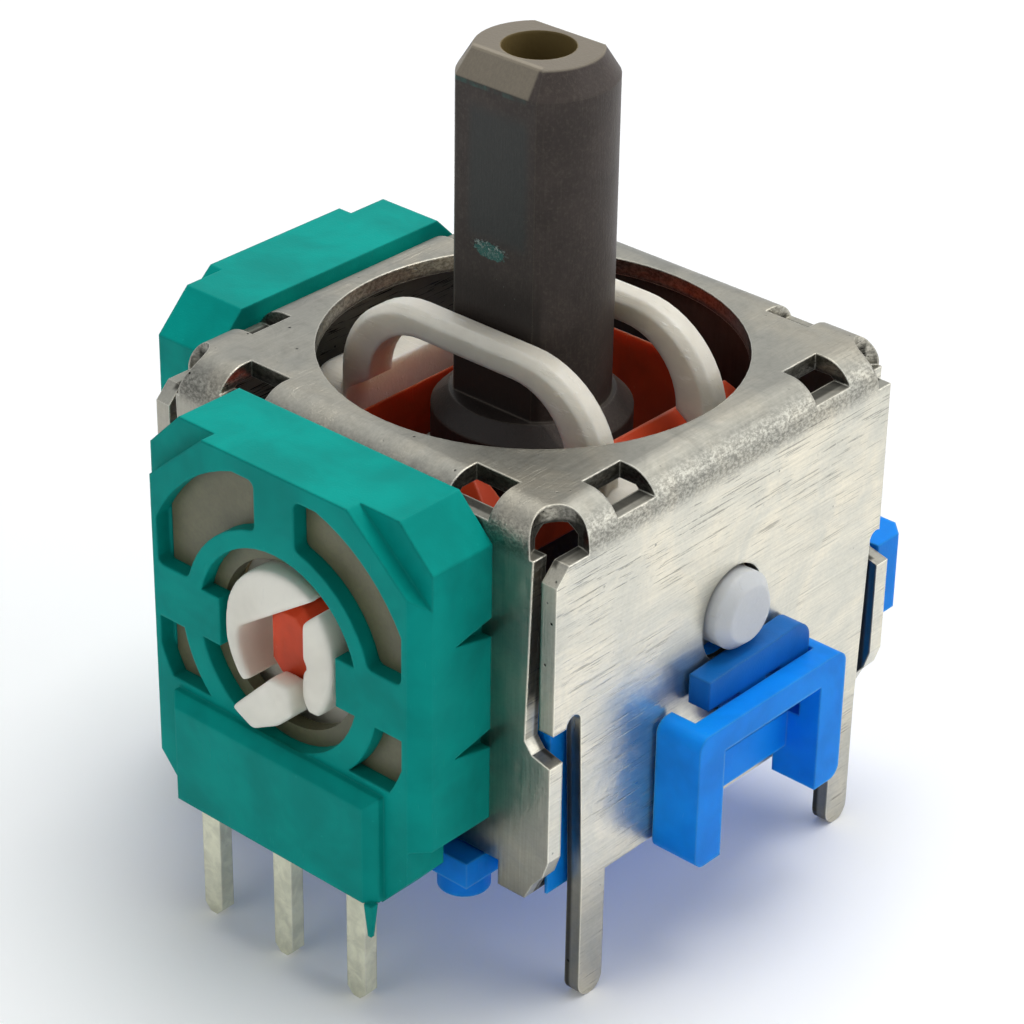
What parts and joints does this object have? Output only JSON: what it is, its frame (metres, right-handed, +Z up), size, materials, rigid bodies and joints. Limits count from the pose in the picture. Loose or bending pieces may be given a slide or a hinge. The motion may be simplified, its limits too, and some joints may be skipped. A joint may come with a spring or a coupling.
{
  "type": "controller analog stick",
  "caption": "Two-axis thumb-stick module: a sprung stick crosses a bail and a slotted yoke that turn two side pots, in a steel can with solder legs and a press lever.",
  "frame": {"origin": "on the stick's axis, in the plane of the circuit board that the base sits on", "axes": "+Z up along the stick; -Y is the side of the front pot, -X the side of the left pot, +X the side of the switch bracket"},
  "size_m": [0.0174, 0.0173, 0.0215],
  "materials": {
    "can_steel": "bright plated sheet with draw marks and scratches",
    "base_blue": "satin moulded plastic",
    "lever_blue": "satin moulded plastic",
    "stick_grey": "satin moulded plastic",
    "bail_nylon": "milky nylon",
    "yoke_red": "satin moulded plastic",
    "shoe_nylon": "milky nylon",
    "spring_steel": "drawn wire",
    "pot_teal": "satin moulded plastic",
    "board_phenolic": "matt phenolic paper board",
    "rotor_white": "satin moulded plastic",
    "wiper_metal": "thin sprung strip",
    "pin_tin": "dull tinned"
  },
  "bodies": {
    "module": {"cover": "can_steel", "base": "base_blue", "front_housing": "pot_teal", "front_board": "board_phenolic", "front_pin_1": "pin_tin", "front_pin_2": "pin_tin", "front_pin_3": "pin_tin", "left_housing": "pot_teal", "left_board": "board_phenolic", "left_pin_1": "pin_tin", "left_pin_2": "pin_tin", "left_pin_3": "pin_tin"},
    "left_rotor": {"left_rotor": "rotor_white", "left_wiper": "wiper_metal"},
    "bail": {"bail": "bail_nylon"},
    "stick": {"stick": "stick_grey", "return_spring": "spring_steel"},
    "spring_shoe": {"spring_shoe": "shoe_nylon"},
    "yoke": {"yoke": "yoke_red", "front_rotor": "rotor_white", "front_wiper": "wiper_metal"},
    "click_lever": {"click_lever": "lever_blue"}
  },
  "joints": [
    {"name": "bail_turn", "type": "hinge", "parent": "module", "child": "left_rotor", "pos_m": [-0.0075, 0, 0.00565], "axis": [1, 0, 0], "range_deg": [-20, 20], "stiffness_Nm_per_rad": 0.012},
    {"name": "click_tilt", "type": "hinge", "parent": "left_rotor", "child": "bail", "pos_m": [-0.008, 0, 0.00565], "axis": [0, 1, 0], "range_deg": [0, 1.16], "stiffness_Nm_per_rad": 0.4},
    {"name": "stick_rock", "type": "hinge", "parent": "bail", "child": "stick", "pos_m": [0, 0, 0.00565], "axis": [0, 1, 0], "range_deg": [-20, 20], "stiffness_Nm_per_rad": 0.012},
    {"name": "shoe_ride", "type": "slide", "parent": "stick", "child": "spring_shoe", "axis": [0, 0, 1], "range_m": [0, 0.0004], "stiffness_N_per_m": 500, "deforming": ["return_spring"]},
    {"name": "yoke_turn", "type": "hinge", "parent": "module", "child": "yoke", "pos_m": [0, 0, 0.00565], "axis": [0, 1, 0], "range_deg": [-20, 20]},
    {"name": "lever_dip", "type": "hinge", "parent": "module", "child": "click_lever", "pos_m": [0.007, 0.00165, 0.00338], "axis": [1, 0, 0], "range_deg": [0, 10.6]}
  ],
  "couplings": [
    {"joint": "yoke_turn", "follows": "stick_rock", "ratio": 1},
    {"joint": "lever_dip", "follows": "click_tilt", "ratio": 9.07}
  ]
}
